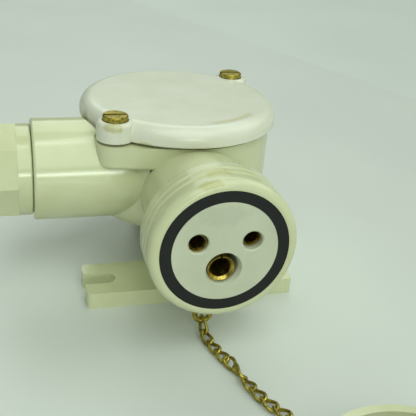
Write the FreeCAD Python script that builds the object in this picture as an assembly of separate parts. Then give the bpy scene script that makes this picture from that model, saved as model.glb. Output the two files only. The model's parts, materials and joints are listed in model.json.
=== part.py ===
"""Marine watertight socket outlet, two poles and earth, moulded in synthetic resin.

A round terminal box stands on a slotted mounting bar. A threaded socket collar points forward along -Y,
a cable gland points along -X, and a screw cap hangs from the collar on a brass chain.
All sizes are in millimetres. The origin is on the mounting plane, under the axis of the round box.
"""
import FreeCAD
import Part
import math
import os

V = FreeCAD.Vector
X = V(1, 0, 0)
Y = V(0, 1, 0)
Z = V(0, 0, 1)

# ---- round box and cover ----
box_radius = 39.7            # outside of the round wall
box_wall = 4.5
box_bottom_z = 26.8          # underside of the round box above the mounting plane
box_floor = 4.0
box_foot_round = 8.0         # rounding where wall meets underside
cover_overhang = 2.3         # cover stands out past the wall by this much
cover_height = 7.7
cover_skin = 3.2
cover_edge_round = 5.2
gasket_thickness = 1.2
gasket_width = 2.6
gasket_inset = 1.5           # gasket lies inside the wall line, which leaves the dark joint line
lip_gap = 0.35               # radial gap between the cover's lip and the wall
lip_width = 2.6
lip_depth = 1.4              # how far the lip reaches into the box
lift_room = 1.2              # room round the cover where it passes the gland boss

# ---- cover screws, M6 cheese head, on two opposite ears ----
screw_circle_radius = box_radius + 2.3
screw_angle = 41.5           # degrees from +X towards +Y for the rear screw
ear_radius = 7.4
ear_edge_round = 1.6
boss_height = 9.4
screw_shank_radius = 2.94
screw_head_radius = 5.0
screw_head_height = 3.3
screw_well_radius = 5.3      # shallow round well in the ear under the head
screw_head_stand = 2.0       # head stands this much above the ear, whose top is level with the cover
screw_length = 15.0
screw_hole_radius = 3.3
nut_insert_radius = 4.2
nut_insert_length = 8.8
slot_width = 1.3
slot_depth = 1.2

# ---- socket collar and neck ----
collar_radius = 27.7
collar_length = 17.5
collar_round = 3.0           # rounded rim outside the face ring
collar_back_round = 1.4
collar_lift = 16.3           # room under the collar for the chain's eye
socket_z = collar_radius + collar_lift
socket_face_y = -box_radius - 42.3
neck_radius = collar_radius - 6.3
box_top_z = socket_z + 21.6   # sealing face of the box
thread_pitch = 4.0
thread_round = 1.1           # radius of the round-bottomed thread groove
thread_depth = 0.8
thread_turns = 2.3
thread_start = 4.4           # first groove behind the socket face
face_ring_outer = collar_radius - 3.8
face_ring_depth = 5.5
insert_radius = face_ring_outer - 4.3
insert_flange = 6.0
insert_body_radius = insert_radius - 2.6
seat_gap = 0.05              # radial gap of pieces that are seated for good
run_gap = 0.06               # radial gap of pieces that turn or slide

# ---- pins and contacts ----
pole_x = insert_body_radius - 7.0
pole_rise = 3.75
earth_drop = 7.15
pole_hole_radius = 3.7
earth_hole_radius = 5.9
earth_mouth_radius = 6.8
earth_mouth_depth = 2.2
pole_mouth_round = 0.5
pole_bore_radius = 2.7
pole_sleeve_radius = 3.35
earth_bore_radius = 3.8
earth_sleeve_radius = 5.0
left_recess = 1.3            # the sleeves float in their holes, so each lies a little differently
right_recess = 2.6
earth_recess = 0.9
left_drift = (-0.22, -0.18)
right_drift = (0.12, 0.27)
earth_drift = (-0.75, -0.20)
clamp_plate_thickness = 4.0
clamp_plate_half_width = 18.0
clamp_plate_half_height = 13.0
fixing_angle = 25.0          # degrees under the horizontal, on both sides
fixing_circle_radius = insert_body_radius - 4.2
fixing_shank_radius = 1.2
fixing_head_radius = 2.25
fixing_head_height = 1.6
fixing_depth = 9.0           # how far the fixing screws reach into the insert
terminal_length = 11.0
terminal_size = 8.6
terminal_screw_radius = 1.7
terminal_head_radius = 2.9
terminal_head_height = 1.6
terminal_head_lift = 0.6     # gap under the clamp screw head, which a wire closes
sleeve_tail_radius = 2.6     # the part that passes the clamp plate
wire_hole_radius = 1.6
sleeve_solid = 6.0           # solid back end of a sleeve
sleeve_slit = 0.7            # one slit along the top lets a sleeve spring
sleeve_slit_length = 14.0

# ---- cable gland ----
gland_radius = 20.7
gland_y = -13.2
gland_z = box_top_z - 17.2
gland_end_x = -box_radius - 23.3
gland_thread_radius = gland_radius - 5.7
gland_thread_depth = 16.0
packing_radius = gland_thread_radius - 2.1
packing_length = 9.0
packing_bore = 6.5
cable_passage_radius = 9.0
washer_thickness = 1.5
nut_gap = 0.25               # thread seen between boss and nut
nut_flange_radius = gland_radius - 2.1
nut_flange_length = 5.5
nut_corner_radius = gland_radius - 1.0
nut_body_length = 7.5
nut_bore = 8.5

# ---- mounting bar and keel ----
bar_half_length = 44.0
bar_front_y = -46.0
bar_depth = 23.4
bar_height = 7.0
bar_slot_width = 8.0
bar_slot_length = 13.0
keel_half_width = 11.0
keel_back_y = 36.0

# ---- chain, its eye and the screw cap ----
eye_x = -2.0
eye_y = socket_face_y + 14.5
eye_ring_radius = 3.1
eye_wire_radius = 1.0
eye_neck = 5.0
chain_width = 5.0
cap_wall = 3.2
cap_thread_gap = 0.5
cap_height = 16.0
cap_plate = 3.0
cap_rib_count = 16
cap_rib_radius = 1.3
cap_centre_x = 36.0
cap_centre_y = -168.0
lug_width = 8.0
lug_height = 3.0
lug_reach = 6.5
lug_hole_radius = 1.7

# ---- sizes that follow from the ones above ----
cover_radius = box_radius + cover_overhang
cover_bottom_z = box_top_z + gasket_thickness
cover_top_z = cover_bottom_z + cover_height
cavity_radius = box_radius - box_wall
cavity_floor_z = box_bottom_z + box_floor
screw_seat_z = cover_top_z + screw_head_stand - screw_head_height
gasket_outer = box_radius - gasket_inset
gasket_inner = gasket_outer - gasket_width
flange_seat_y = socket_face_y + insert_flange
collar_back_y = socket_face_y + collar_length
plate_front_y = -math.sqrt(cavity_radius ** 2 - clamp_plate_half_width ** 2) - clamp_plate_thickness - 2.0
plate_back_y = plate_front_y + clamp_plate_thickness
bar_back_y = bar_front_y + bar_depth
cap_inner_radius = collar_radius + cap_thread_gap
cap_radius = cap_inner_radius + cap_wall

through = 90.0               # longer than any hole that goes right through

os.makedirs("parts", exist_ok=True)
made = []


def save(name, shape):
    shape.exportStep("parts/" + name + ".step")
    made.append(name)
    print(name, "solids", len(shape.Solids), "volume", round(shape.Volume, 1), "valid", shape.isValid())


def rod(radius, length, x, y, z, axis):
    return Part.makeCylinder(radius, length, V(x, y, z), axis)


def tube(outer, inner, length, x, y, z, axis):
    return rod(outer, length, x, y, z, axis).cut(rod(inner, length, x, y, z, axis))


def block(x0, x1, y0, y1, z0, z1):
    return Part.makeBox(x1 - x0, y1 - y0, z1 - z0, V(x0, y0, z0))


def edges_where(shape, test):
    return [e for e in shape.Edges if test(e)]


def round_edges(shape, radius, test):
    found = edges_where(shape, test)
    return shape.makeFillet(radius, found) if found else shape


def is_circle_at(edge, radius, coordinate, index):
    if not isinstance(edge.Curve, Part.Circle):
        return False
    centre = edge.Curve.Center
    place = (centre.x, centre.y, centre.z)[index]
    return abs(edge.Curve.Radius - radius) < 0.01 and abs(place - coordinate) < 0.01


def is_upright(edge):
    first = edge.Vertexes[0].Point
    last = edge.Vertexes[-1].Point
    return abs(first.x - last.x) < 0.001 and abs(first.y - last.y) < 0.001 and abs(first.z - last.z) > 0.5


def slotted_head(radius, height, x, y, z):
    """Cheese head with a straight screwdriver slot, standing on z."""
    head = rod(radius, height, x, y, z, Z)
    head = round_edges(head, 0.5, lambda e: is_circle_at(e, radius, z + height, 2))
    groove = block(x - radius - 1, x + radius + 1, y - slot_width / 2, y + slot_width / 2,
                   z + height - slot_depth, z + height + 1)
    return head.cut(groove)


# ---- places of the two cover screws: rear first, front second ----
angle = math.radians(screw_angle)
screw_places = []
for side in (1, -1):
    screw_places.append((side * screw_circle_radius * math.cos(angle), side * screw_circle_radius * math.sin(angle)))


def ear_prism(place, radius, ear, z0, z1):
    """Round ear joined to a round body by two straight tangents."""
    px, py = place
    reach = math.hypot(px, py)
    heading = math.atan2(py, px)
    lean = math.acos((radius - ear) / reach)
    corners = [V(0, 0, z0)]
    for turn, size, cx, cy in ((lean, radius, 0, 0), (lean, ear, px, py), (-lean, ear, px, py), (-lean, radius, 0, 0)):
        corners.append(V(cx + size * math.cos(heading + turn), cy + size * math.sin(heading + turn), z0))
    corners.append(corners[0])
    wedge = Part.Face(Part.makePolygon(corners)).extrude(V(0, 0, z1 - z0))
    return wedge.fuse(rod(ear, z1 - z0, px, py, z0, Z)).removeSplitter()


# ---- housing: round box, screw bosses, gland boss, neck and collar, bar and keel in one moulding ----
housing = rod(box_radius, box_top_z - box_bottom_z, 0, 0, box_bottom_z, Z)
housing = round_edges(housing, box_foot_round, lambda e: is_circle_at(e, box_radius, box_bottom_z, 2))
for place in screw_places:
    boss = ear_prism(place, box_radius, ear_radius, box_top_z - boss_height, box_top_z)
    boss = boss.fuse(rod(box_radius, boss_height, 0, 0, box_top_z - boss_height, Z)).removeSplitter()
    low = box_top_z - boss_height
    boss = round_edges(boss, 1.6, lambda e: all(abs(v.Point.z - low) < 0.001 for v in e.Vertexes)
                       and e.BoundBox.ZLength < 0.001)
    housing = housing.fuse(boss)

gland_boss = rod(gland_radius, -gland_end_x - 12, gland_end_x, gland_y, gland_z, X)
gland_boss = round_edges(gland_boss, 1.0, lambda e: is_circle_at(e, gland_radius, gland_end_x, 0))
housing = housing.fuse(gland_boss)

neck = rod(neck_radius, -collar_back_y - 20, 0, collar_back_y, socket_z, Y)
collar = rod(collar_radius, collar_length, 0, socket_face_y, socket_z, Y)
collar = round_edges(collar, collar_round, lambda e: is_circle_at(e, collar_radius, socket_face_y, 1))
collar = round_edges(collar, collar_back_round, lambda e: is_circle_at(e, collar_radius, collar_back_y, 1))
housing = housing.fuse(neck).fuse(collar)

bar = block(-bar_half_length, bar_half_length, bar_front_y, bar_back_y, 0, bar_height)
bar = round_edges(bar, 2.0, is_upright)
bar_middle_y = (bar_front_y + bar_back_y) / 2
for side in (1, -1):
    inner_x = side * (bar_half_length - bar_slot_length + bar_slot_width / 2)
    bar = bar.cut(rod(bar_slot_width / 2, bar_height, inner_x, bar_middle_y, 0, Z))
    outer_x = side * (bar_half_length + 1)
    bar = bar.cut(block(min(inner_x, outer_x), max(inner_x, outer_x), bar_middle_y - bar_slot_width / 2,
                        bar_middle_y + bar_slot_width / 2, 0, bar_height))
keel = block(-keel_half_width, keel_half_width, bar_front_y, keel_back_y, 0, cavity_floor_z - 1)
keel = round_edges(keel, 3.0, is_upright)
housing = housing.fuse(bar).fuse(keel)

# hollows of the housing
housing = housing.cut(rod(cavity_radius, box_top_z, 0, 0, cavity_floor_z, Z))
housing = housing.cut(rod(face_ring_outer + seat_gap, face_ring_depth, 0, socket_face_y, socket_z, Y))
housing = housing.cut(rod(insert_radius + seat_gap, insert_flange, 0, socket_face_y, socket_z, Y))
housing = housing.cut(rod(insert_body_radius + seat_gap, -flange_seat_y - 20, 0, flange_seat_y, socket_z, Y))
housing = housing.cut(block(-clamp_plate_half_width - 0.4, clamp_plate_half_width + 0.4, plate_front_y, -15,
                            socket_z - clamp_plate_half_height - 0.4, socket_z + clamp_plate_half_height + 0.4))
thread_end_x = gland_end_x + gland_thread_depth
packing_end_x = thread_end_x + packing_length
housing = housing.cut(rod(gland_thread_radius + run_gap, gland_thread_depth, gland_end_x, gland_y, gland_z, X))
housing = housing.cut(rod(packing_radius + seat_gap, packing_length, thread_end_x, gland_y, gland_z, X))
housing = housing.cut(rod(cable_passage_radius, -packing_end_x - 20, packing_end_x, gland_y, gland_z, X))

# room above the gland boss for the cover and its ears
housing = housing.cut(rod(cover_radius + lift_room, through, 0, 0, box_top_z, Z))
for px, py in screw_places:
    housing = housing.cut(rod(ear_radius + lift_room, through, px, py, box_top_z, Z))
    housing = housing.cut(rod(nut_insert_radius + seat_gap, nut_insert_length, px, py,
                              box_top_z - nut_insert_length, Z))

# round-bottomed screw thread on the collar
helix = Part.makeHelix(thread_pitch, thread_pitch * thread_turns, collar_radius - thread_depth + thread_round)
profile = Part.Wire([Part.makeCircle(thread_round, V(collar_radius - thread_depth + thread_round, 0, 0), Y)])
groove = Part.Wire(helix.Edges).makePipeShell([profile], True, True)
groove.Placement = FreeCAD.Placement(V(0, socket_face_y + thread_start, socket_z), FreeCAD.Rotation(X, -90))
housing = housing.cut(groove)

# the eye's shank hole in the underside of the collar
collar_bottom_z = socket_z - collar_radius
housing = housing.cut(rod(eye_wire_radius + seat_gap, 4.0, eye_x, eye_y, collar_bottom_z - 0.5, Z))
save("housing", housing)

# ---- cover with two ears and a locating lip ----
cover = rod(cover_radius, cover_height, 0, 0, cover_bottom_z, Z)
cover = round_edges(cover, cover_edge_round, lambda e: is_circle_at(e, cover_radius, cover_top_z, 2))
cover = round_edges(cover, 0.6, lambda e: is_circle_at(e, cover_radius, cover_bottom_z, 2))
for px, py in screw_places:
    ear = rod(ear_radius, cover_top_z - cover_bottom_z, px, py, cover_bottom_z, Z)
    ear = round_edges(ear, ear_edge_round, lambda e: is_circle_at(e, ear_radius, cover_top_z, 2))
    cover = cover.fuse(ear)
    cover = cover.cut(rod(screw_well_radius, 10, px, py, screw_seat_z, Z))
lip_outer = cavity_radius - lip_gap
lip = tube(lip_outer, lip_outer - lip_width, lip_depth + gasket_thickness, 0, 0, box_top_z - lip_depth, Z)
cover = cover.fuse(lip)
cover = cover.cut(rod(lip_outer - lip_width, cover_top_z - cover_skin - box_top_z + 2, 0, 0, box_top_z - 2, Z))
for px, py in screw_places:
    cover = cover.cut(rod(screw_hole_radius, 20, px, py, box_top_z - 5, Z))
save("cover", cover.removeSplitter())

save("cover_gasket", tube(gasket_outer, gasket_inner, gasket_thickness, 0, 0, box_top_z, Z))

# ---- cover screws and their brass thread inserts ----
for name, (px, py) in zip(("cover_screw_rear", "cover_screw_front"), screw_places):
    screw = rod(screw_shank_radius, screw_length, px, py, screw_seat_z - screw_length, Z)
    screw = screw.fuse(slotted_head(screw_head_radius, screw_head_height, px, py, screw_seat_z))
    save(name, screw.removeSplitter())
inserts = []
for px, py in screw_places:
    bush = tube(nut_insert_radius, screw_shank_radius + run_gap, nut_insert_length, px, py,
                box_top_z - nut_insert_length, Z)
    bush = bush.cut(tube(nut_insert_radius + 1, nut_insert_radius - 0.5, 1.2, px, py,
                         box_top_z - nut_insert_length / 2 - 0.6, Z))
    inserts.append(bush)
save("cover_thread_inserts", Part.makeCompound(inserts))

# ---- socket insert: flanged moulding with three holes ----
contacts = (("left", -pole_x, pole_rise, pole_hole_radius, pole_sleeve_radius, pole_bore_radius,
             left_recess, left_drift),
            ("right", pole_x, pole_rise, pole_hole_radius, pole_sleeve_radius, pole_bore_radius,
             right_recess, right_drift),
            ("earth", 0.0, -earth_drop, earth_hole_radius, earth_sleeve_radius, earth_bore_radius,
             earth_recess, earth_drift))
insert = rod(insert_radius, insert_flange, 0, socket_face_y, socket_z, Y)
insert = insert.fuse(rod(insert_body_radius, plate_front_y - flange_seat_y, 0, flange_seat_y, socket_z, Y))
for name, cx, rise, hole, sleeve_radius, bore, recess, drift in contacts:
    insert = insert.cut(rod(hole, through, cx, socket_face_y, socket_z + rise, Y))
    mouth = earth_mouth_radius if name == "earth" else hole + pole_mouth_round
    depth = earth_mouth_depth if name == "earth" else pole_mouth_round
    insert = insert.cut(Part.makeCone(mouth, hole, depth, V(cx, socket_face_y, socket_z + rise), Y))
fixing_turn = math.radians(fixing_angle)
fixing_places = [(side * fixing_circle_radius * math.cos(fixing_turn), -fixing_circle_radius * math.sin(fixing_turn))
                 for side in (-1, 1)]
for fx, fz in fixing_places:
    insert = insert.cut(rod(fixing_shank_radius + seat_gap, fixing_depth + 1, fx, plate_front_y - fixing_depth - 1,
                            socket_z + fz, Y))
save("socket_insert", insert.removeSplitter())

save("face_gasket", tube(face_ring_outer, insert_radius + seat_gap, face_ring_depth, 0, socket_face_y, socket_z, Y))

# ---- clamp plate behind the insert, and its two screws ----
plate = block(-clamp_plate_half_width, clamp_plate_half_width, plate_front_y, plate_back_y,
              socket_z - clamp_plate_half_height, socket_z + clamp_plate_half_height)
for name, cx, rise, hole, sleeve_radius, bore, recess, drift in contacts:
    plate = plate.cut(rod(sleeve_tail_radius + 2 * seat_gap, through, cx + drift[0], plate_front_y - 5,
                          socket_z + rise + drift[1], Y))
for fx, fz in fixing_places:
    plate = plate.cut(rod(fixing_shank_radius + 0.2, through, fx, plate_front_y - 5, socket_z + fz, Y))
plate = round_edges(plate, 2.0, lambda e: abs(e.BoundBox.YLength - clamp_plate_thickness) < 0.01
                    and e.BoundBox.XLength < 0.01 and e.BoundBox.ZLength < 0.01)
save("insert_clamp_plate", plate)
fixings = []
for fx, fz in fixing_places:
    screw = rod(fixing_shank_radius, clamp_plate_thickness + fixing_depth, fx, plate_front_y - fixing_depth,
                socket_z + fz, Y)
    head = rod(fixing_head_radius, fixing_head_height, fx, plate_back_y, socket_z + fz, Y)
    head = head.cut(block(fx - fixing_head_radius, fx + fixing_head_radius, plate_back_y + fixing_head_height / 2,
                          plate_back_y + fixing_head_height, socket_z + fz - 0.4, socket_z + fz + 0.4))
    fixings.append(screw.fuse(head).removeSplitter())
save("insert_fixing_screws", Part.makeCompound(fixings))

# ---- contact sleeves with terminal blocks, and their clamp screws ----
for name, hole_x, rise, hole, sleeve_radius, bore, recess, drift in contacts:
    cx = hole_x + drift[0]
    cz = socket_z + rise + drift[1]
    front_y = socket_face_y + recess
    sleeve = rod(sleeve_radius, plate_front_y - front_y, cx, front_y, cz, Y)
    sleeve = sleeve.cut(rod(bore, plate_front_y - front_y - sleeve_solid, cx, front_y, cz, Y))
    sleeve = sleeve.cut(Part.makeCone(bore + 0.7 * (sleeve_radius - bore), bore, 1.0, V(cx, front_y, cz), Y))
    sleeve = sleeve.cut(block(cx - sleeve_slit / 2, cx + sleeve_slit / 2, front_y, front_y + sleeve_slit_length,
                              cz, cz + sleeve_radius))
    sleeve = sleeve.fuse(rod(sleeve_tail_radius, clamp_plate_thickness, cx, plate_front_y, cz, Y))
    half = terminal_size / 2
    terminal = block(cx - half, cx + half, plate_back_y, plate_back_y + terminal_length, cz - half, cz + half)
    terminal = terminal.cut(rod(wire_hole_radius, terminal_length, cx, plate_back_y + 1.5, cz - 0.6, Y))
    screw_y = plate_back_y + terminal_length * 0.62
    terminal = terminal.cut(rod(terminal_screw_radius + run_gap, half + 1, cx, screw_y, cz, Z))
    save("contact_sleeve_" + name, sleeve.fuse(terminal).removeSplitter())
    clamp = rod(terminal_screw_radius, half + terminal_head_lift - 1.2, cx, screw_y, cz + 1.2, Z)
    clamp = clamp.fuse(slotted_head(terminal_head_radius, terminal_head_height, cx, screw_y,
                                    cz + half + terminal_head_lift))
    save("terminal_screw_" + name, clamp.removeSplitter())

# ---- gland: nut, washer and rubber packing ----
nut_face_x = gland_end_x - nut_gap
shank_length = nut_face_x - (thread_end_x - washer_thickness)
nut = rod(nut_flange_radius, nut_flange_length, nut_face_x - nut_flange_length, gland_y, gland_z, X)
nut = round_edges(nut, 0.8, lambda e: is_circle_at(e, nut_flange_radius, nut_face_x, 0))
corners = []
for k in range(9):
    turn = math.radians(45 * k)
    corners.append(V(nut_face_x - nut_flange_length, gland_y + nut_corner_radius * math.sin(turn),
                     gland_z + nut_corner_radius * math.cos(turn)))
octagon = Part.Face(Part.makePolygon(corners)).extrude(V(-nut_body_length, 0, 0))
bevel = Part.makeCone(nut_corner_radius + nut_body_length, nut_corner_radius - 1.2, nut_body_length + 1.2,
                      V(nut_face_x - nut_flange_length, gland_y, gland_z), V(-1, 0, 0))
nut = nut.fuse(octagon.common(bevel))
nut = nut.fuse(rod(gland_thread_radius, -shank_length, nut_face_x, gland_y, gland_z, X))
nut = nut.cut(rod(nut_bore, 60, nut_face_x - 30, gland_y, gland_z, X))
nut = nut.cut(Part.makeCone(nut_bore + 2, nut_bore, 2, V(nut_face_x - nut_flange_length - nut_body_length,
                                                        gland_y, gland_z), X))
save("gland_nut", nut.removeSplitter())
save("gland_washer", tube(gland_thread_radius - 0.1, nut_bore - 1, washer_thickness, thread_end_x - washer_thickness,
                          gland_y, gland_z, X))
save("gland_packing", tube(packing_radius, packing_bore, packing_length, thread_end_x, gland_y, gland_z, X))

# ---- screw eye under the collar ----
eye_centre_z = collar_bottom_z - eye_neck - eye_ring_radius
eye = Part.makeTorus(eye_ring_radius, eye_wire_radius, V(eye_x, eye_y, eye_centre_z), Y)
eye = eye.fuse(rod(eye_wire_radius, eye_neck + 3.4, eye_x, eye_y, collar_bottom_z - eye_neck, Z))
eye = eye.fuse(rod(2.2, 0.9, eye_x, eye_y, collar_bottom_z - 1.2, Z))
save("chain_anchor_eye", eye.removeSplitter())

# ---- screw cap, lying open side up in front of the socket ----
cap = rod(cap_radius, cap_height, cap_centre_x, cap_centre_y, 0, Z)
cap = round_edges(cap, 1.5, lambda e: is_circle_at(e, cap_radius, 0, 2))
for k in range(cap_rib_count):
    turn = 2 * math.pi * (k + 0.5) / cap_rib_count
    rib = rod(cap_rib_radius, cap_height - 5.5, cap_centre_x + cap_radius * math.cos(turn),
              cap_centre_y + cap_radius * math.sin(turn), 2.5, Z)
    cap = cap.fuse(rib)
cap = cap.cut(rod(cap_inner_radius, cap_height, cap_centre_x, cap_centre_y, cap_plate, Z))

# the lug faces the chain
lug_turn = math.radians(90 + 360.0 / cap_rib_count)
lug_dir = V(math.cos(lug_turn), math.sin(lug_turn), 0)
lug_side = V(-math.sin(lug_turn), math.cos(lug_turn), 0)
cap_centre = V(cap_centre_x, cap_centre_y, 0)
lug_low = 1.5
start = cap_centre + lug_dir * (cap_radius - 2) + V(0, 0, lug_low)
tip = cap_centre + lug_dir * (cap_radius + lug_reach - lug_width / 2) + V(0, 0, lug_low)
half = lug_side * (lug_width / 2)
tab = Part.Face(Part.makePolygon([start + half, tip + half, tip - half, start - half, start + half]))
tab = tab.extrude(V(0, 0, lug_height)).fuse(rod(lug_width / 2, lug_height, tip.x, tip.y, lug_low, Z))
cap = cap.fuse(tab).cut(rod(lug_hole_radius, 20, tip.x, tip.y, -5, Z))

# round thread inside the cap
cap_helix = Part.makeHelix(thread_pitch, thread_pitch * 1.9, cap_inner_radius + 0.55)
cap_profile = Part.Wire([Part.makeCircle(thread_round, V(cap_inner_radius + 0.55, 0, 0), Y)])
cap_ridge = Part.Wire(cap_helix.Edges).makePipeShell([cap_profile], True, True)
cap_ridge.Placement = FreeCAD.Placement(V(cap_centre_x, cap_centre_y, cap_plate + 3.4), FreeCAD.Rotation())
cap = cap.fuse(cap_ridge.common(rod(cap_radius - 1, cap_height - 1, cap_centre_x, cap_centre_y, 0.5, Z)))
save("screw_cap", cap)
save("cap_gasket", rod(cap_inner_radius - 1.4, 2.0, cap_centre_x, cap_centre_y, cap_plate, Z))

# ---- chain: a limp line from the eye to the lug, kept as a plain round section ----
line_radius = chain_width / 2
lug_end = cap_centre + lug_dir * (cap_radius + lug_reach - 0.5)
points = [V(eye_x + 0.2, eye_y - 1.2, eye_centre_z - 3.9), V(-1.0, -79.0, line_radius + 0.2),
          V(3.2, -92.0, line_radius + 0.2),
          V(6.6, -106.0, line_radius + 0.2), V(12.2, -119.5, line_radius + 0.2),
          V(lug_end.x, lug_end.y, line_radius + 0.2)]


def limp_line(points):
    """Straight runs joined by tangent arcs. Returns the wire and its smallest bend radius."""
    parts = []
    place = points[0]
    smallest = 1e9
    for a, b, c in zip(points, points[1:], points[2:]):
        back = (a - b).normalize()
        ahead = (c - b).normalize()
        turn = math.pi - back.getAngle(ahead)
        run = 0.45 * min((a - b).Length, (c - b).Length)
        bend = run / math.tan(turn / 2)
        smallest = min(smallest, bend)
        inner = (back + ahead).normalize()
        centre = b + inner * (bend / math.cos(turn / 2))
        first = b + back * run
        last = b + ahead * run
        middle = centre - inner * bend
        parts.append(Part.LineSegment(place, first).toShape())
        parts.append(Part.Arc(first, middle, last).toShape())
        place = last
    parts.append(Part.LineSegment(place, points[-1]).toShape())
    return Part.Wire(parts), smallest


line, smallest = limp_line(points)
start_dir = (points[1] - points[0]).normalize()
ring = Part.Wire([Part.makeCircle(line_radius, points[0], start_dir)])
chain = line.makePipeShell([ring], True, False)
print("chain length", round(line.Length, 1), "smallest bend radius", round(smallest, 1),
      "volume ratio", round(chain.Volume / (math.pi * line_radius ** 2 * line.Length), 3))
chain = chain.cut(eye).cut(cap)
chain = max(chain.Solids, key=lambda s: s.Volume)
save("cap_chain", chain)
print("chain lowest point", round(chain.BoundBox.ZMin, 2), "nodes", len(made))
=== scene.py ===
# %% [markdown]
# # A watertight socket outlet in moulded resin
# The outlet is a round terminal box with a screwed cover, a threaded socket collar, a cable gland and a
# slotted mounting bar. Its screw cap lies on the table, on a brass chain. The solids come ready-made from
# the CAD frame, so this lesson gives them their finishes, makes the chain link by link, and lights the
# scene.
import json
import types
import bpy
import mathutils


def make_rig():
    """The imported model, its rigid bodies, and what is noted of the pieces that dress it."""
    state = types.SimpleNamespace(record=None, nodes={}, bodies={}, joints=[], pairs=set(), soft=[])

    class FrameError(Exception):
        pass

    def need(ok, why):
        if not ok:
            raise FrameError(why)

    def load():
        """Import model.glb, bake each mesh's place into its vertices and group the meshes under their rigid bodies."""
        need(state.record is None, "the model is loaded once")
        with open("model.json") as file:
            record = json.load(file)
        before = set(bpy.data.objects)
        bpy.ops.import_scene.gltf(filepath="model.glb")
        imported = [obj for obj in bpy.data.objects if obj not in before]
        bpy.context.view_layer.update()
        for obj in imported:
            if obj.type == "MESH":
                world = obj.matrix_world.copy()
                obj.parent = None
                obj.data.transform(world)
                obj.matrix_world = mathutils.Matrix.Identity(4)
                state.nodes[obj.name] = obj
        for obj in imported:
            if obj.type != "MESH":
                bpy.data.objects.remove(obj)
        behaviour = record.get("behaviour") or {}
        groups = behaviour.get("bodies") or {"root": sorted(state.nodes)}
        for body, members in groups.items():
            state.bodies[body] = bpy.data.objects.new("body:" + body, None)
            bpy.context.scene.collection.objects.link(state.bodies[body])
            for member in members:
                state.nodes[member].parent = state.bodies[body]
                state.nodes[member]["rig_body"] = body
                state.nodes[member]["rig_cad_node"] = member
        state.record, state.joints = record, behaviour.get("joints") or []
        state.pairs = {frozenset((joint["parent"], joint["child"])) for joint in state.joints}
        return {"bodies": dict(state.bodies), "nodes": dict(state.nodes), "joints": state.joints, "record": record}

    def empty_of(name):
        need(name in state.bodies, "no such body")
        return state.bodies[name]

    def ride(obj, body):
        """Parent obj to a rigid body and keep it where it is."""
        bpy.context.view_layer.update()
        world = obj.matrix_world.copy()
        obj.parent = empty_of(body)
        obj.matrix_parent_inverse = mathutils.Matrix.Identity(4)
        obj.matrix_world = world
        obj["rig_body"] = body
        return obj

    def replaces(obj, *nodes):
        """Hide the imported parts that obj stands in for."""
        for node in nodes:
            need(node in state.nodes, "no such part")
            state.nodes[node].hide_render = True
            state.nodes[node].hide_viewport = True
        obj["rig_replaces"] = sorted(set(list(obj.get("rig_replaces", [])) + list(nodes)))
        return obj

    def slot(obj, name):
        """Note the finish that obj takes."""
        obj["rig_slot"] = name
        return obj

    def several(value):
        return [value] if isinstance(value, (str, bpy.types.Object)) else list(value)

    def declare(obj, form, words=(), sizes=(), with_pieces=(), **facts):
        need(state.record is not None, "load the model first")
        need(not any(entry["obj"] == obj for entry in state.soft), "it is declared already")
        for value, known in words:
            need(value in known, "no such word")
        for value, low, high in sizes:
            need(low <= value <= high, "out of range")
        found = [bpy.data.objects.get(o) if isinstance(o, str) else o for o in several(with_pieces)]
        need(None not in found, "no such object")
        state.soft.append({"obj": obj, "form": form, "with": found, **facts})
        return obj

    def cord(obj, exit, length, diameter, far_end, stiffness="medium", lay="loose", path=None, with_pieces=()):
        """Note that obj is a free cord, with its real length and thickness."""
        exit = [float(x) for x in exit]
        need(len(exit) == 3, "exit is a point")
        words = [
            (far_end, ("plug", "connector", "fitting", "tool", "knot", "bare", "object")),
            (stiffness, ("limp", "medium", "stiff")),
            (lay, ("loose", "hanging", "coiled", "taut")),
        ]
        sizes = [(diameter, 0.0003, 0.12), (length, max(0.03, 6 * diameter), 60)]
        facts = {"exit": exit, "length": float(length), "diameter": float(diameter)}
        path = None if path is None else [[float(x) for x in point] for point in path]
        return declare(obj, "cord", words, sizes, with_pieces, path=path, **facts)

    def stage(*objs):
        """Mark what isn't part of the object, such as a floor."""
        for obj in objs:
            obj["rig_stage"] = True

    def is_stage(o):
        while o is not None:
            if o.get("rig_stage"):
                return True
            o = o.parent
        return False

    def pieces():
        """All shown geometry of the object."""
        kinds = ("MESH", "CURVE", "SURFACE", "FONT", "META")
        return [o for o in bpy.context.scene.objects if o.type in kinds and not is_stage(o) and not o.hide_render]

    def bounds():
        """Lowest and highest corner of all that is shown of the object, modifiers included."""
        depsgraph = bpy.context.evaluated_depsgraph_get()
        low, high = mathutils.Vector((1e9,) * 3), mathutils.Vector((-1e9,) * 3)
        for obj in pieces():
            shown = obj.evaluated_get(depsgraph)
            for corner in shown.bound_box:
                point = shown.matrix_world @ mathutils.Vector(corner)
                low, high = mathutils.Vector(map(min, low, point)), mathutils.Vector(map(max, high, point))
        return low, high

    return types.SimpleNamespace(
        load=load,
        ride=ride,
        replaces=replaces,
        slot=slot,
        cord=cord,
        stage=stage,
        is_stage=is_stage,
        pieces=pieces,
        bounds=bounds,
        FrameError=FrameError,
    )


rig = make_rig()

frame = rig.load()
cad_box = [list(corner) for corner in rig.bounds()]

import json
import math

import bpy
from mathutils import Matrix, Vector

nodes = frame["nodes"]
print("CAD box", cad_box, "nodes", len(nodes))

# %% [markdown]
# ## Camera
# The outlet is seen from the front, a little from the left and well from above, with a longish lens. A
# camera can be aimed with a Track To constraint, but its roll is then lost, so the three angles are turned
# into a matrix here.

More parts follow.
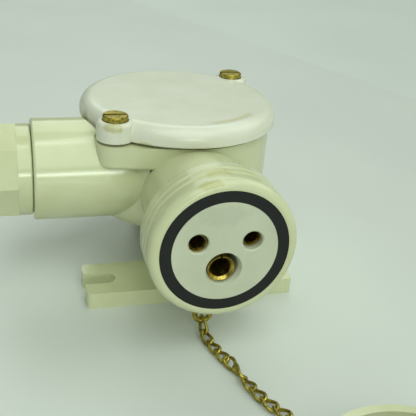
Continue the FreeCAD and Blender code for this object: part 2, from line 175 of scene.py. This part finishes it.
# %% Camera
MM = 0.001
camera_place = Vector((-75.2, -300.3, 174.5)) * MM
heading, tilt, lean = (math.radians(a) for a in (17.15, 26.24, 4.86))
ahead = Vector((math.sin(heading) * math.cos(tilt), math.cos(heading) * math.cos(tilt), -math.sin(tilt)))
level = Vector((math.cos(heading), -math.sin(heading), 0))
above = level.cross(ahead)
right = math.cos(lean) * level + math.sin(lean) * above
top = -math.sin(lean) * level + math.cos(lean) * above

camera_data = bpy.data.cameras.new("camera")
camera_data.sensor_width = 36
camera_data.lens = 64.8173
camera_data.clip_start = 0.01
camera_data.clip_end = 20
camera = bpy.data.objects.new("camera", camera_data)
turned = Matrix((right, top, -ahead)).transposed().to_4x4()
camera.matrix_world = Matrix.Translation(camera_place) @ turned
bpy.context.scene.collection.objects.link(camera)
bpy.context.scene.camera = camera
print("lens", round(camera_data.lens, 1), "mm")

# %% [markdown]
# ## The route of the chain
# The cap is held by about 70 mm of curb chain. It leaves the eye under the collar, drops to the table and
# runs to the lug of the cap. A NURBS spline gives it one smooth line. Order 3 and the end points are set
# after the points.

# %% Route of the chain
cap_centre = Vector((36.0, -168.0, 0))
lug_heading = math.radians(90 + 360 / 16)
lug_way = Vector((math.cos(lug_heading), math.sin(lug_heading), 0))
chain_end_reach = 38.7       # from the cap's axis to the last link, in millimetres
chain_end_height = 2.6
chain_end = cap_centre + lug_way * chain_end_reach + Vector((0, 0, chain_end_height))
route = [(-2.0, -66.7, 5.9), (-1.9, -71.2, 1.5), (-1.0, -79.0, 1.5), (3.2, -92.0, 1.5),
         (6.6, -106.0, 1.5), (12.2, -119.5, 1.5), tuple(chain_end)]


def smooth_line(points):
    """The points of a NURBS spline through a route in millimetres, in metres."""
    curve = bpy.data.curves.new("route", "CURVE")
    curve.dimensions = "3D"
    spline = curve.splines.new("NURBS")
    spline.points.add(len(points) - 1)
    for control, place in zip(spline.points, points):
        control.co = (*(Vector(place) * MM), 1)
    spline.order_u = 3
    spline.use_endpoint_u = True
    spline.resolution_u = 24
    holder = bpy.data.objects.new("route", curve)
    bpy.context.scene.collection.objects.link(holder)
    mesh = bpy.data.meshes.new_from_object(holder)
    line = [v.co.copy() for v in mesh.vertices]
    bpy.data.objects.remove(holder)
    bpy.data.meshes.remove(mesh)
    return line


chain_line = smooth_line(route)
steps = [(b - a).length for a, b in zip(chain_line, chain_line[1:])]
chain_length = sum(steps)
print("chain line", len(chain_line), "points,", round(chain_length * 1000, 1), "mm")

# %% [markdown]
# ## The links of the chain
# A curb chain is made of oval wire links, each twisted a quarter turn so that the chain lies flat. An array
# of one torus would lock no link into the next, so every link is swept here: an oval wire whose cross
# direction turns 90 degrees from one end to the other, which brings it square to its neighbour where they
# meet. Part of the way along, the chain rolls over by half a turn, as a chain that is laid down by hand
# does.

# %% Links of the chain
wire = 0.66 * MM             # radius of the link's wire
half_width = 1.75 * MM       # from the chain's middle to the wire's centre
about_pitch = 6.2 * MM       # the real pitch is fitted to a whole number of links
link_count = round(chain_length / about_pitch)
pitch = chain_length / link_count
half_length = pitch / 2 + wire
squareness = 0.8             # power of the oval: 1 is an ellipse, and less is squarer
loop_points = 36             # points round one link
roll_start = 19 * MM         # where along the chain it starts to roll over
roll_run = 24 * MM           # and how long that takes
roll_lift = 0.95 * MM        # how far a link on edge is raised off the table


def place_on(line, distance):
    """The point and the direction at a distance along a line, which runs on straight past either end."""
    for a, b in zip(line, line[1:]):
        run = (b - a).length
        if distance <= run or b is line[-1]:
            return a + (b - a) * (distance / run), (b - a).normalized()
        distance -= run


def half_turn(distance):
    """The roll of the chain, which twists over by half a turn midway."""
    t = min(1, max(0, (distance - roll_start) / roll_run))
    return math.pi * t * t * (3 - 2 * t)


def sweep_ring(vertices, faces, centres, radius, sides=10):
    """A closed wire of that radius round a closed loop of points."""
    start = len(vertices)
    count = len(centres)
    middle = sum(centres, Vector()) / count
    for k in range(count):
        along = (centres[(k + 1) % count] - centres[k - 1]).normalized()
        out = centres[k] - middle
        out = (out - along * out.dot(along)).normalized()
        side = along.cross(out)
        for j in range(sides):
            turn = 2 * math.pi * j / sides
            vertices.append(centres[k] + (out * math.cos(turn) + side * math.sin(turn)) * radius)
    for k in range(count):
        for j in range(sides):
            here, ahead_ring = start + k * sides, start + ((k + 1) % count) * sides
            beside = (j + 1) % sides
            faces.append((here + j, here + beside, ahead_ring + beside, ahead_ring + j))


def link_loop(number):
    """The centre line of one twisted link. The end links turn to meet the eye and the split ring."""
    middle = (number + 0.5) * pitch
    roll = half_turn(middle)
    first, last = roll - math.pi / 4, roll + math.pi / 4
    if number == 0:
        first, last = math.pi / 2, math.pi / 4
    if number == link_count - 1:
        last = math.pi
    loop = []
    for k in range(loop_points):
        t = 2 * math.pi * k / loop_points
        reach = math.copysign(abs(math.cos(t)) ** squareness, math.cos(t))
        spread = half_width * math.copysign(abs(math.sin(t)) ** squareness, math.sin(t))
        spot, along = place_on(chain_line, middle + half_length * reach)
        across = Vector((0, 0, 1)).cross(along).normalized()
        up = along.cross(across)
        turn = first + (last - first) * (reach + 1) / 2
        lift = roll_lift * abs(math.sin(roll)) if number else 0
        loop.append(spot + (across * math.cos(turn) + up * math.sin(turn)) * spread + Vector((0, 0, lift)))
    return loop


def mesh_piece(name, vertices, faces, body):
    """A smooth mesh object that moves with a CAD body."""
    mesh = bpy.data.meshes.new(name)
    mesh.from_pydata([tuple(v) for v in vertices], [], faces)
    mesh.update()
    mesh.shade_smooth()
    piece = bpy.data.objects.new(name, mesh)
    bpy.context.scene.collection.objects.link(piece)
    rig.ride(piece, body)
    return piece


vertices, faces = [], []
for number in range(link_count):
    sweep_ring(vertices, faces, link_loop(number), wire)
curb_chain = mesh_piece("curb_chain", vertices, faces, "housing_body")
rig.replaces(curb_chain, "cap_chain")
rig.slot(curb_chain, "brown_brass")
print("links", link_count, "pitch", round(pitch * 1000, 2), "mm, lowest",
      round(min(v.z for v in vertices) * 1000, 2), "mm")

# %% [markdown]
# ## The split ring at the cap
# A ring of brass wire joins the last link to the hole in the cap's lug. It stands upright in the line of
# the lug.

# %% Split ring
ring_reach = 36.4            # from the cap's axis to the ring's centre, in millimetres
ring_height = 3.55
ring_radius = 2.9 * MM
ring_wire = 0.6 * MM
ring_points = 40
ring_centre = (cap_centre + lug_way * ring_reach + Vector((0, 0, ring_height))) * MM
ring_turns = [2 * math.pi * k / ring_points for k in range(ring_points)]
ring_loop = [ring_centre + (lug_way * math.cos(t) + Vector((0, 0, 1)) * math.sin(t)) * ring_radius
             for t in ring_turns]
vertices, faces = [], []
sweep_ring(vertices, faces, ring_loop, ring_wire)
split_ring = mesh_piece("split_ring", vertices, faces, "housing_body")
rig.slot(split_ring, "brown_brass")

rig.cord(curb_chain, exit=tuple(chain_line[0]), length=0.070, diameter=0.005, far_end="fitting",
        stiffness="limp", lay="loose", path=[tuple(p) for p in chain_line],
        with_pieces=[split_ring, nodes["screw_cap"], nodes["cap_gasket"]])
print("split ring", len(vertices), "points")

# %% [markdown]
# ## Table
# The outlet stands on a white laminate table top. Its far edge shows as a faint line, so the top is one
# sheet and a second sheet lies beyond the edge, a little lower.

# %% Table
def sheet_piece(name, corners):
    """One flat sheet that belongs to the stage."""
    mesh = bpy.data.meshes.new(name)
    mesh.from_pydata([tuple(c) for c in corners], [], [tuple(range(len(corners)))])
    mesh.update()
    piece = bpy.data.objects.new(name, mesh)
    bpy.context.scene.collection.objects.link(piece)
    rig.stage(piece)
    return piece


edge_start = Vector((0.247, 0.207, 0))
edge_way = (Vector((0.078, 0.571, 0)) - edge_start).normalized()
edge_half = 4                # how far the edge is drawn each way, in metres
drop = 0.012                 # how far the second sheet lies below the table top
edge_far, edge_near = edge_start + edge_way * edge_half, edge_start - edge_way * edge_half
table = sheet_piece("table", [edge_far, edge_near, (-4, -4, 0), (-4, 4, 0)])
beyond = sheet_piece("beyond", [(-6, 8, -drop), (8, 8, -drop), (8, -8, -drop), (-6, -8, -drop)])
print("table edge runs along", [round(c, 2) for c in edge_way])

# %% [markdown]
# ## Light
# The room has tall windows. The broad light falls from the front and from high up, with weaker light from
# behind and from the right. Suns with a wide angle give such soft windows. The angle is the width of the
# window as the outlet sees it. Two small lamps only add the streaks on the round gland boss, one from
# overhead and one low in front. Windows and lamps are a little green, as daylight through thick glass is.

# %% Light
def window(name, towards, strength, width, colour=(0.90, 1.0, 0.89)):
    """Soft daylight from one side of the room."""
    daylight = bpy.data.lights.new(name, "SUN")
    daylight.energy = strength
    daylight.angle = math.radians(width)
    daylight.color = colour
    holder = bpy.data.objects.new(name, daylight)
    holder.rotation_euler = Vector(towards).to_track_quat("Z", "Y").to_euler()
    bpy.context.scene.collection.objects.link(holder)


def lamp(name, place, target, width, height, power):
    """A rectangular lamp that faces a target."""
    tube = bpy.data.lights.new(name, "AREA")
    tube.shape = "RECTANGLE"
    tube.size = width
    tube.size_y = height
    tube.energy = power
    tube.color = (0.90, 1.0, 0.91)
    holder = bpy.data.objects.new(name, tube)
    holder.location = place
    holder.rotation_euler = (Vector(target) - Vector(place)).to_track_quat("-Z", "Y").to_euler()
    bpy.context.scene.collection.objects.link(holder)


window("front_window", (0.0, -0.72, 1.0), 1.85, 62)
window("back_window", (0.1, 1.0, 1.0), 0.72, 45)
window("right_window", (1.0, 0.1, 1.0), 0.62, 45)
box_middle = (0, 0, 0.05)
lamp("lamp_overhead", (0.13, -0.05, 1.6), box_middle, 0.7, 0.12, 1.2)
lamp("lamp_in_front", (0.16, -1.9, 0.34), box_middle, 0.6, 0.20, 5.2)
world = bpy.data.worlds.new("room")
bpy.context.scene.world = world
world.use_nodes = True
walls = world.node_tree.nodes["Background"]
walls.inputs["Color"].default_value = (0.87, 0.98, 0.88, 1)
walls.inputs["Strength"].default_value = 0.09
bpy.context.scene.view_settings.view_transform = "Standard"
print("lights", len([o for o in bpy.context.scene.objects if o.type == "LIGHT"]))

# %% [markdown]
# ## Colours and nodes
# Colours are written as sRGB hex values, as a paint chart gives them, and one function turns them to the
# linear values that shaders work in. A second function adds a node with its settings and links, and a third
# starts a material with the plain values of its finish.

# %% Colours and nodes
def from_hex(code):
    """Linear RGBA from an sRGB hex colour."""
    parts = [int(code[i:i + 2], 16) / 255 for i in (1, 3, 5)]
    return (*[c / 12.92 if c <= 0.04045 else ((c + 0.055) / 1.055) ** 2.4 for c in parts], 1)


def add(tree, kind, settings=None, **inputs):
    """Adds a node. An input that is a socket is linked, and any other is set. i0 is the first input."""
    node = tree.nodes.new(kind)
    for key, value in (settings or {}).items():
        setattr(node, key, value)
    for key, value in inputs.items():
        numbered = key[0] == "i" and key[1:].isdigit()
        socket = node.inputs[int(key[1:])] if numbered else node.inputs[key]
        if isinstance(value, bpy.types.NodeSocket):
            tree.links.new(value, socket)
        else:
            socket.default_value = value
    return node


def new_finish(name, roughness, metallic=0.0, ior=1.5):
    """A material with its shader and the object's own coordinates in metres."""
    material = bpy.data.materials.new(name)
    material.use_nodes = True
    tree = material.node_tree
    shader = tree.nodes["Principled BSDF"]
    shader.inputs["Roughness"].default_value = roughness
    shader.inputs["Metallic"].default_value = metallic
    shader.inputs["IOR"].default_value = ior
    place = add(tree, "ShaderNodeTexCoord").outputs["Object"]
    return material, tree, shader, place


print("the resin's #D0D3AB is", [round(c, 3) for c in from_hex("#D0D3AB")], "in linear values")

# %% [markdown]
# ## Drifting tones and marks
# No real surface has one even colour. Two patterns serve all the finishes here. The first drifts between
# two tones, with a noise whose grain is a real size in millimetres. The second lays one colour over another
# through a mask, which is how stains, patches of painted shade, the yellow band on the cover's rim and a film
# of oxide are made. A mark's mask fades with distance from its middle, and noise makes its edge ragged.

# %% Drifting tones and marks
grit_size = 2.5              # grain of the noise that makes a mark's edge ragged, in millimetres
solid_share = 0.55           # the part of a mark's size inside which it is at its full strength


def drifting_tones(tree, place, grain, first, second, **settings):
    """A colour that drifts between two, each given as the noise value that has it and its hex colour."""
    pattern = add(tree, "ShaderNodeTexNoise", Vector=place, Scale=1 / (grain * MM), **settings).outputs[0]
    ends = {"From Min": first[0], "From Max": second[0]}
    share = add(tree, "ShaderNodeMapRange", Value=pattern, **ends).outputs[0]
    tones = {"i6": from_hex(first[1]), "i7": from_hex(second[1])}
    return add(tree, "ShaderNodeMix", {"data_type": "RGBA"}, i0=share, **tones).outputs[2], pattern


def laid_over(tree, under, over, mask, strength):
    """A hex colour laid over another colour where a mask is 1."""
    share = add(tree, "ShaderNodeMath", {"operation": "MULTIPLY"}, i0=mask, i1=strength).outputs[0]
    return add(tree, "ShaderNodeMix", {"data_type": "RGBA"}, i0=share, i6=under, i7=from_hex(over)).outputs[2]


def spot_mask(tree, place, centre, size, edge):
    """1 near a centre in millimetres, 0 further off than its size, with a ragged edge."""
    shifted = add(tree, "ShaderNodeVectorMath", {"operation": "SUBTRACT"}, i0=place,
                  i1=tuple(c * MM for c in centre)).outputs[0]
    scaled = add(tree, "ShaderNodeVectorMath", {"operation": "DIVIDE"}, i0=shifted,
                 i1=tuple(c * MM for c in size)).outputs[0]
    reach = add(tree, "ShaderNodeVectorMath", {"operation": "LENGTH"}, i0=scaled).outputs["Value"]
    grit = add(tree, "ShaderNodeTexNoise", Vector=place, Scale=1 / (grit_size * MM), Detail=3.0).outputs[0]
    ragged = add(tree, "ShaderNodeMath", {"operation": "MULTIPLY_ADD"}, i0=grit, i1=edge, i2=reach).outputs[0]
    ends = {"From Min": solid_share + edge / 2, "From Max": 1.0 + edge / 2, "To Min": 1.0, "To Max": 0.0}
    soft = {"interpolation_type": "SMOOTHSTEP"}
    return add(tree, "ShaderNodeMapRange", soft, Value=ragged, **ends).outputs[0]


print("a mark's edge is broken up by a grit of", grit_size, "mm")

# %% [markdown]
# ## Moulded resin
# The housing, cover, gland nut and cap are compression-moulded urea resin: ivory-green, hard, with a gloss
# from the polished mould and a faint orange peel. The moulding powder leaves slow shifts of tone, and years
# of handling leave yellowed stains. Patches of painted shade darken the wall under the cover's left side, the
# left side of the cover and the front of its ear. Resin has an IOR of about 1.55. The orange peel is about
# 1.5 mm from crest to crest. A yellow band is painted along the front of the cover's rim.

# %% Moulded resin
# The first colour serves both the yellowed stains and the patches of painted shade. The second is the yellow band on
# the cover's rim.
stain_and_shade_colour, rim_colour = "#B8B568", "#C4B468"
rim_patch = ((16, -30, 74), (16, 12, 8))     # the yellow part of the rim: its middle and half size
rim_strength = 0.42


def rim_band(tree, place, radius):
    """1 along a ring of that radius in millimetres round the box's axis, 0 elsewhere."""
    flat = add(tree, "ShaderNodeVectorMath", {"operation": "MULTIPLY"}, i0=place, i1=(1, 1, 0)).outputs[0]
    reach = add(tree, "ShaderNodeVectorMath", {"operation": "LENGTH"}, i0=flat).outputs["Value"]
    off = add(tree, "ShaderNodeMath", {"operation": "SUBTRACT"}, i0=reach, i1=radius * MM).outputs[0]
    off = add(tree, "ShaderNodeMath", {"operation": "ABSOLUTE"}, i0=off).outputs[0]
    ends = {"From Min": 0.3 * MM, "From Max": 2.2 * MM, "To Min": 1.0, "To Max": 0.0}
    soft = {"interpolation_type": "SMOOTHSTEP"}
    return add(tree, "ShaderNodeMapRange", soft, Value=off, **ends).outputs[0]


def moulded_resin(name, tone, pale, aged, roughness, stains_and_shade, rim=None):
    """Hard moulded resin with slow tone shifts, fine peel, a few yellowed stains, patches of painted shade and, if a
    rim is given, a yellow band along its front.
    """
    material, tree, shader, place = new_finish(name, roughness, ior=1.55)
    colour, _ = drifting_tones(tree, place, 26, (0.30, tone), (0.72, pale), Detail=3.0, Roughness=0.55)
    blotch = add(tree, "ShaderNodeTexNoise", Vector=place, Scale=1 / (14 * MM), Detail=2.0).outputs[0]
    ends = {"From Min": 0.45, "From Max": 0.80}
    blotch = add(tree, "ShaderNodeMapRange", Value=blotch, **ends).outputs[0]
    colour = laid_over(tree, colour, aged, blotch, 0.35)
    # Yellowed stains and patches of painted shade, laid in one colour.
    for centre, size, strength in stains_and_shade:
        colour = laid_over(tree, colour, stain_and_shade_colour, spot_mask(tree, place, centre, size, 0.9), strength)
    if rim:
        # A yellow band is painted along the front of the rim.
        band, patch = rim_band(tree, place, rim), spot_mask(tree, place, *rim_patch, 0.5)
        rim_tint = add(tree, "ShaderNodeMath", {"operation": "MULTIPLY"}, i0=band, i1=patch).outputs[0]
        colour = laid_over(tree, colour, rim_colour, rim_tint, rim_strength)
    tree.links.new(colour, shader.inputs["Base Color"])
    peel = add(tree, "ShaderNodeTexNoise", Vector=place, Scale=1 / (1.5 * MM), Detail=2.0).outputs[0]
    wave = add(tree, "ShaderNodeTexNoise", Vector=place, Scale=1 / (9 * MM), Detail=1.0).outputs[0]
    height = add(tree, "ShaderNodeMath", {"operation": "ADD"}, i0=wave, i1=peel).outputs[0]
    bump = add(tree, "ShaderNodeBump", Strength=0.06, Distance=0.02 * MM, Height=height)
    tree.links.new(bump.outputs[0], shader.inputs["Normal"])
    return material


# Each mark is its middle, its half size and its strength.
body_stains_and_shade = [((-3.0, -74.5, 71.6), (5.5, 4.5, 4.0), 0.55),       # top of the collar
              ((-8.0, -81.0, 70.6), (6.5, 2.6, 3.0), 0.50),       # edge of the collar
              ((-31.5, -20.0, 66.0), (3.5, 6.0, 3.0), 0.45)]      # painted shade on the wall under the cover
cover_stains_and_shade = [((-24.5, -37.5, 67.2), (7.0, 3.5, 1.2), 0.55),     # lower edge by the ear
               ((-33.5, -34.6, 73.2), (5.5, 3.0, 2.4), 0.60),     # painted shade on the front of the ear
               ((-41.2, -9.0, 67.0), (3.0, 5.0, 5.5), 0.65)]      # painted shade on the left side of the cover
resin_body = moulded_resin("moulded_urea_resin_ivory_green", "#D0D3AB", "#D8DBB7", "#C2C086", 0.17,
                           body_stains_and_shade)
resin_cover = moulded_resin("moulded_urea_resin_cover", "#E2E2D2", "#E9E9DC", "#D6D3B2", 0.26,
                            cover_stains_and_shade, rim=34.6)
print("resin finishes", resin_body.name, resin_cover.name)

# %% [markdown]
# ## Moulded insulating insert
# The insert that holds the contacts is a separate grey-green moulding with a matt face. It is a pale resin
# that has greyed, so it is rougher than the housing and nearly even in tone. A faint dull mark lies on its
# upper part.

# %% Insert resin
def matt_insert(name):
    """Matt grey-green insulating resin."""
    material, tree, shader, place = new_finish(name, 0.50, ior=1.5)
    colour, _ = drifting_tones(tree, place, 16, (0.30, "#C6CAB2"), (0.70, "#D0D4BE"), Detail=3.0)
    mark = spot_mask(tree, place, (-1.5, -82.0, 58.2), (11.0, 6.0, 5.0), 1.0)
    tree.links.new(laid_over(tree, colour, "#A39C86", mark, 0.16), shader.inputs["Base Color"])
    grain = add(tree, "ShaderNodeTexNoise", Vector=place, Scale=1 / (0.7 * MM), Detail=3.0).outputs[0]
    bump = add(tree, "ShaderNodeBump", Strength=0.12, Distance=0.02 * MM, Height=grain)
    tree.links.new(bump.outputs[0], shader.inputs["Normal"])
    return material


resin_insert = matt_insert("moulded_insulating_resin")
print("insert finish", resin_insert.name)

# %% [markdown]
# ## Brass
# The screws, sleeves and chain are brass. It is a full metal with its default IOR. Handled brass grows a
# brown film in patches and keeps its yellow between them. The film is an oxide, so where it is thick the
# surface is rougher and less metallic. The turned pieces are cleaner than the outer screws and the chain.

# %% Brass
film_step = 0.18             # how far the noise rises from no film to a full one
film_roughness = 0.62
film_metallic = 0.55


def tarnished_brass(name, bright, dull, film, film_start, roughness):
    """Brass with a patchy brown film, rougher and less metallic where the film is thick."""
    material, tree, shader, place = new_finish(name, roughness, metallic=1.0)
    metal, patch = drifting_tones(tree, place, 1.9, (0.35, bright), (0.65, dull), Detail=4.0, Roughness=0.6)
    share = add(tree, "ShaderNodeTexNoise", Vector=place, Scale=1 / (1.1 * MM), Detail=3.0).outputs[0]
    ends = {"From Min": film_start, "From Max": film_start + film_step}
    share = add(tree, "ShaderNodeMapRange", Value=share, **ends).outputs[0]
    tree.links.new(laid_over(tree, metal, film, share, 1.0), shader.inputs["Base Color"])
    for socket, bare, filmed in (("Roughness", roughness, film_roughness), ("Metallic", 1.0, film_metallic)):
        ends = {"To Min": bare, "To Max": filmed}
        value = add(tree, "ShaderNodeMapRange", Value=share, **ends).outputs[0]
        tree.links.new(value, shader.inputs[socket])
    bump = add(tree, "ShaderNodeBump", Strength=0.25, Distance=0.04 * MM, Height=patch)
    tree.links.new(bump.outputs[0], shader.inputs["Normal"])
    return material


brass_turned = tarnished_brass("turned_brass", "#D9C064", "#A08A3C", "#3E3414", 0.56, 0.28)
brass_brown = tarnished_brass("tarnished_brass", "#CDBB5A", "#92853A", "#463C16", 0.54, 0.36)
print("brass finishes", brass_turned.name, brass_brown.name)

# %% [markdown]
# ## Rubber
# The face gasket, cover gasket, packing and cap liner are black moulded rubber with a fine matt skin.
# Carbon-filled rubber is never pure black, and a trace of dust greys it.

# %% Rubber
def moulded_rubber(name):
    """Black rubber with a dusty matt skin."""
    material, tree, shader, place = new_finish(name, 0.74, ior=1.52)
    colour, _ = drifting_tones(tree, place, 5, (0.40, "#0A0B0A"), (0.80, "#151714"),
                               Detail=5.0, Roughness=0.7)
    tree.links.new(colour, shader.inputs["Base Color"])
    skin = add(tree, "ShaderNodeTexNoise", Vector=place, Scale=1 / (0.5 * MM), Detail=3.0).outputs[0]
    bump = add(tree, "ShaderNodeBump", Strength=0.3, Distance=0.03 * MM, Height=skin)
    tree.links.new(bump.outputs[0], shader.inputs["Normal"])
    return material


rubber_black = moulded_rubber("moulded_black_rubber")
print("rubber finish", rubber_black.name)

# %% [markdown]
# ## Finishes on the pieces
# Each CAD solid keeps its shape and gets its finish here. The chain and the split ring get theirs too.

# %% Finishes on the pieces
finishes = {
    resin_body: ["housing", "gland_nut", "screw_cap"],
    resin_cover: ["cover"],
    resin_insert: ["socket_insert", "insert_clamp_plate"],
    brass_turned: ["contact_sleeve_left", "contact_sleeve_right", "contact_sleeve_earth",
                   "terminal_screw_left", "terminal_screw_right", "terminal_screw_earth",
                   "insert_fixing_screws", "gland_washer", "cover_thread_inserts"],
    brass_brown: ["cover_screw_rear", "cover_screw_front", "chain_anchor_eye"],
    rubber_black: ["face_gasket", "cover_gasket", "gland_packing", "cap_gasket"],
}


def dress(piece, material):
    """Gives a piece one material."""
    piece.data.materials.clear()
    piece.data.materials.append(material)


for material, names in finishes.items():
    for name in names:
        dress(nodes[name], material)
dress(curb_chain, brass_brown)
dress(split_ring, brass_brown)
print("dressed", sum(len(names) for names in finishes.values()) + 2, "pieces")

# %% [markdown]
# ## Finish of the table
# White laminate has a faint satin gloss, so it picks up soft reflections and very little else.

# %% Finish of the table
def laminate(name, low, high):
    """Pale satin laminate with a trace of dust."""
    material, tree, shader, place = new_finish(name, 0.38, ior=1.5)
    colour, _ = drifting_tones(tree, place, 120, (0.3, low), (0.7, high), Detail=3.0)
    tree.links.new(colour, shader.inputs["Base Color"])
    return material


dress(table, laminate("white_laminate", "#D2D6D3", "#D7DBD7"))
dress(beyond, laminate("far_laminate", "#D6DCD9", "#DAE0DC"))
print("the table is dressed")

# %% [markdown]
# ## Sizes and the end
# The box round all the pieces is written beside the box of the CAD model, so that the two can be compared.

# %% Sizes and the end
json.dump({"cad": cad_box, "visual": [list(corner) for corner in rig.bounds()]}, open("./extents.json", "w"))
print(open("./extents.json").read())
